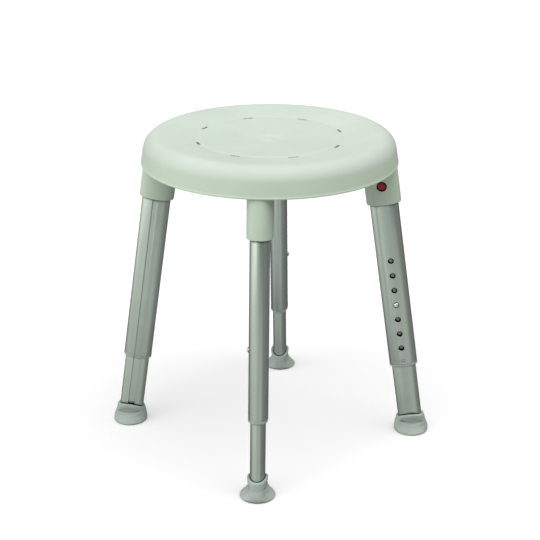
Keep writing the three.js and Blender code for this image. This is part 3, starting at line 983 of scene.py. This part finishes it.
def anodised_aluminium():
    """Extruded tube, satin anodised: fine draw lines along its length, with painted shade where it runs close
    to other pieces.
    """
    m = Nodes("anodised_aluminium")
    lines = m.coordinates((1, 1, 0.004))
    plain = m.coordinates((1, 1, 1))
    draw = m.noise(lines, 1500.0, 3.0, 0.6)
    cloud = m.noise(plain, 25.0, 3.0)
    color = m.mottled(cloud, (0.69, 0.80, 0.695), (0.735, 0.85, 0.74))
    # Painted shade: dark rings where the holes open onto the inner tube, and darkening under the collars.
    m.color_from(m.shaded_in_gaps(color, (0.008, 0.01, 0.008), 8.0, (0.63, 0.82)))
    m.roughness_from(draw, 0.27, 0.33)
    m.relief_from(draw, 0.03, 0.0001)
    m.shader.inputs["Metallic"].default_value = 1.0
    return m.material


def painted_shade_bore():
    """Painted shade for the tube's inside and its holes' walls: a dull, near-black surface with extrusion
    lines.
    """
    m = Nodes("painted_shade_bore")
    draw = m.noise(m.coordinates((1, 1, 0.01)), 900.0, 3.0, 0.6)
    # Near-black colour painted as the shade inside the tube.
    m.color_from(m.mottled(draw, (0.035, 0.04, 0.035), (0.06, 0.068, 0.06)))
    m.roughness_from(draw, 0.6, 0.8)
    m.relief_from(draw, 0.1, 0.0002)
    m.shader.inputs["Specular IOR Level"].default_value = 0.2
    return m.material


def bush_nylon():
    """Moulded nylon, light grey-green, with a fine grain."""
    m = Nodes("bush_nylon")
    plain = m.coordinates((1, 1, 1))
    cloud = m.noise(plain, 60.0, 3.0)
    m.color_from(m.mottled(cloud, (0.47, 0.52, 0.46), (0.52, 0.57, 0.51)))
    m.roughness_from(cloud, 0.42, 0.55)
    m.relief_from(m.noise(plain, 1200.0, 2.0), 0.1, 0.0003)
    return m.material


def foot_rubber():
    """Soft matt rubber with a faint bloom and fine grain, with painted shade in its hollows."""
    m = Nodes("foot_rubber")
    plain = m.coordinates((1, 1, 1))
    cloud = m.noise(plain, 70.0, 4.0)
    color = m.mottled(cloud, (0.43, 0.497, 0.44), (0.487, 0.56, 0.503))
    # Painted shade: darker in the foot's hollows and where it meets the tube.
    m.color_from(m.shaded_in_gaps(color, (0.12, 0.14, 0.12), 10.0, (0.2, 0.85)))
    m.roughness_from(cloud, 0.5, 0.66)
    m.relief_from(m.noise(plain, 1500.0, 3.0), 0.15, 0.0003)
    return m.material


def red_plastic():
    """Glossy moulded plastic, deep red."""
    m = Nodes("red_plastic")
    plain = m.coordinates((1, 1, 1))
    cloud = m.noise(plain, 220.0, 3.0)
    color = m.mottled(cloud, (0.36, 0.007, 0.013), (0.46, 0.013, 0.021))
    # Painted shade: darker round the button's edge, down in its window.
    m.color_from(m.shaded_in_gaps(color, (0.01, 0.005, 0.005), 4.0, (0.35, 0.75)))
    m.roughness_from(cloud, 0.25, 0.36)
    m.relief_from(m.noise(plain, 2500.0, 2.0), 0.08, 0.0002)
    return m.material


def polished_steel():
    """Bright stainless steel with a trace of wear."""
    m = Nodes("polished_steel")
    plain = m.coordinates((1, 1, 1))
    cloud = m.noise(plain, 300.0, 3.0)
    color = m.mottled(cloud, (0.93, 0.93, 0.92), (0.98, 0.98, 0.97))
    # Painted shade: darker where the button meets the edge of its hole.
    m.color_from(m.shaded_in_gaps(color, (0.02, 0.02, 0.02), 3.0, (0.55, 0.9)))
    m.roughness_from(cloud, 0.06, 0.12)
    m.relief_from(m.noise(plain, 3000.0, 2.0), 0.05, 0.0001)
    m.shader.inputs["Metallic"].default_value = 1.0
    return m.material


def spring_steel():
    """Rolled strip with lines along it."""
    m = Nodes("spring_steel")
    lines = m.noise(m.coordinates((1, 1, 0.02)), 2500.0, 3.0)
    m.color_from(m.mottled(lines, (0.34, 0.34, 0.35), (0.46, 0.46, 0.47)))
    m.roughness_from(lines, 0.25, 0.42)
    m.relief_from(lines, 0.08, 0.0001)
    m.shader.inputs["Metallic"].default_value = 1.0
    return m.material


# ---- assembly -----------------------------------------------------------------------------


def add_piece(node, mesh, matrix, body):
    """Places a mesh and tells the frame which node it stands for and which body it rides on."""
    piece = bpy.data.objects.new(f"{node}_shape", mesh)
    bpy.context.scene.collection.objects.link(piece)
    piece.matrix_world = matrix
    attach(piece, body)
    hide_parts(node)
    return piece


def dressed(mesh, material):
    """The mesh with its shading set and one material all over."""
    finish_surface(mesh)
    mesh.materials.clear()
    mesh.materials.append(material)
    return mesh


def painted_dark_inside(mesh, size, shade_material):
    """Gives the faces that look inward, and the walls of the holes, the material with painted shade."""
    mesh.materials.append(shade_material)
    for face in mesh.polygons:
        x, y = face.center.x / MM, face.center.y / MM
        inward = face.normal.x * x / size[0] ** 2 + face.normal.y * y / size[1] ** 2
        across = abs(face.normal.y) < 0.1  # faces sideways, as a hole's wall does
        hole_wall = across and y < 0 and abs(x) < size[0] / 2
        if inward < -1e-4 or hole_wall:
            face.material_index = 1
    return mesh


def leaning_pieces():
    """Everything that's built along a leg but the springs, as piece, mesh, body and record slot."""
    # bore here is the near-black material with painted shade for the tubes' insides and holes' walls.
    aluminium, nylon, bore = anodised_aluminium(), bush_nylon(), painted_shade_bore()
    outer_tube = painted_dark_inside(dressed(outer_tube_mesh(), aluminium), OUTER_TUBE, bore)
    inner_tube = painted_dark_inside(dressed(inner_tube_mesh(), aluminium), INNER_TUBE, bore)
    return [
        ("outer_tube", outer_tube, "leg", "aluminium"),
        ("end_bush", dressed(end_bush_mesh(), nylon), "leg", "bush_plastic"),
        ("inner_tube", inner_tube, "lower_leg", "aluminium"),
        ("top_glide", dressed(top_glide_mesh(), nylon), "lower_leg", "bush_plastic"),
        ("lock_button", dressed(lock_button_mesh(), red_plastic()), "lock_button", "red_plastic"),
        ("height_button", dressed(height_button_mesh(), polished_steel()), "height_button", "steel"),
    ]


def spring_pieces():
    """The two leaf springs, as piece, mesh, body, joint that presses it, bore and travel."""
    steel = spring_steel()
    outer_bore, inner_bore = grown(OUTER_TUBE, -OUTER_WALL), grown(INNER_TUBE, -INNER_WALL)
    lock_spring = leaf_spring_mesh(
        "lock_spring", outer_bore, LOCK_FLANGE_RADIUS, LOCK_STATION, LOCK_SPRING_LENGTH, 1
    )
    height_spring = leaf_spring_mesh(
        "height_spring", inner_bore, BUTTON_FLANGE_RADIUS, BUTTON_STATION, HEIGHT_SPRING_LENGTH, -1
    )
    dressed(lock_spring, steel)
    dressed(height_spring, steel)
    return [
        ("lock_spring", lock_spring, "leg", "lock_press", outer_bore, LOCK_TRAVEL),
        ("height_spring", height_spring, "lower_leg", "height_press", inner_bore, BUTTON_TRAVEL),
    ]


def build_stool():
    """The seat, and the same nine pieces on each leg."""
    leaning, springs = leaning_pieces(), spring_pieces()
    foot = dressed(foot_mesh(), foot_rubber())
    add_piece("seat", dressed(seat_mesh(), seat_plastic()), Matrix.Identity(4), "seat")
    for k in range(LEG_COUNT):
        number = k + 1
        for node, mesh, body, slot in leaning:
            add_piece(f"{node}_{number}", mesh, leg_matrix(k), f"{body}_{number}")
        add_piece(f"foot_{number}", foot, foot_matrix(k), f"lower_leg_{number}")
        for node, mesh, body, joint, bore, travel in springs:
            spring = add_piece(
                f"{node}_{number}", mesh.copy(), leg_matrix(k), f"{body}_{number}"
            )
            press_spring(spring)


def press_spring(spring):
    """Gives the spring a mesh of its own."""
    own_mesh(spring)


# ---- stage, light and camera --------------------------------------------------------------


def build_stage():
    """A pale floor that the tubes don't mirror: they show the room instead."""
    (x0, y0), (x1, y1) = FLOOR_LOW, FLOOR_HIGH
    points = [(x0, y0, 0), (x1, y0, 0), (x1, y1, 0), (x0, y1, 0)]
    floor = bpy.data.objects.new("floor", make_mesh("floor", points, [(0, 1, 2, 3)]))
    bpy.context.scene.collection.objects.link(floor)
    m = Nodes("floor_paper")
    m.shader.inputs["Base Color"].default_value = (0.8, 0.8, 0.8, 1)
    m.shader.inputs["Roughness"].default_value = 0.9
    m.shader.inputs["Specular IOR Level"].default_value = 0.1
    m.shader.inputs["Emission Color"].default_value = (1, 1, 1, 1)
    m.shader.inputs["Emission Strength"].default_value = FLOOR_GLOW
    floor.data.materials.append(m.material)
    floor.visible_glossy = False
    floor.visible_diffuse = False


def build_room():
    """Soft studio light from all round, strongest from above and from the right.

    The world adds up one smooth round patch for each light, and the camera sees it white.
    """
    world = bpy.data.worlds.new("studio")
    bpy.context.scene.world = world
    world.use_nodes = True
    tree = world.node_tree
    where = tree.nodes.new("ShaderNodeTexCoord").outputs["Generated"]
    total = tree.nodes.new("ShaderNodeValue").outputs["Value"]
    total.default_value = ROOM_GLOW
    for azimuth, elevation, spread, strength in STUDIO_LIGHTS:
        toward = tree.nodes.new("ShaderNodeVectorMath")
        toward.operation = "DOT_PRODUCT"
        toward.inputs[1].default_value = direction(azimuth, elevation)
        tree.links.new(where, toward.inputs[0])
        panel = tree.nodes.new("ShaderNodeMapRange")
        panel.interpolation_type = "SMOOTHSTEP"
        panel.inputs["From Min"].default_value = math.cos(math.radians(spread))
        panel.inputs["To Max"].default_value = strength
        tree.links.new(toward.outputs["Value"], panel.inputs["Value"])
        both = tree.nodes.new("ShaderNodeMath")
        tree.links.new(total, both.inputs[0])
        tree.links.new(panel.outputs["Result"], both.inputs[1])
        total = both.outputs["Value"]
    seen = tree.nodes.new("ShaderNodeMix")
    seen.data_type = "RGBA"
    seen.inputs["B"].default_value = (1, 1, 1, 1)
    tree.links.new(tree.nodes.new("ShaderNodeLightPath").outputs["Is Camera Ray"], seen.inputs["Factor"])
    tree.links.new(total, seen.inputs["A"])
    tree.links.new(seen.outputs["Result"], tree.nodes["Background"].inputs["Color"])


def direction(azimuth, elevation):
    """The direction at an azimuth from the front (-Y) towards +X, and an elevation."""
    around, up = math.radians(azimuth), math.radians(elevation)
    return Vector((math.sin(around) * math.cos(up), -math.cos(around) * math.cos(up), math.sin(up)))


def build_camera():
    """The photo's own view: a long lens, from in front and above."""
    data = bpy.data.cameras.new("camera")
    data.sensor_width = 36.0
    data.lens = CAMERA_LENS
    data.clip_end = 60.0
    camera = bpy.data.objects.new("camera", data)
    camera.location = CAMERA_PLACE
    camera.rotation_euler = (math.radians(CAMERA_TILT), 0.0, math.radians(CAMERA_TURN))
    bpy.context.scene.collection.objects.link(camera)
    bpy.context.scene.camera = camera
    bpy.context.scene.view_settings.view_transform = "Standard"


build_camera()
build_stage()
build_room()
build_stool()
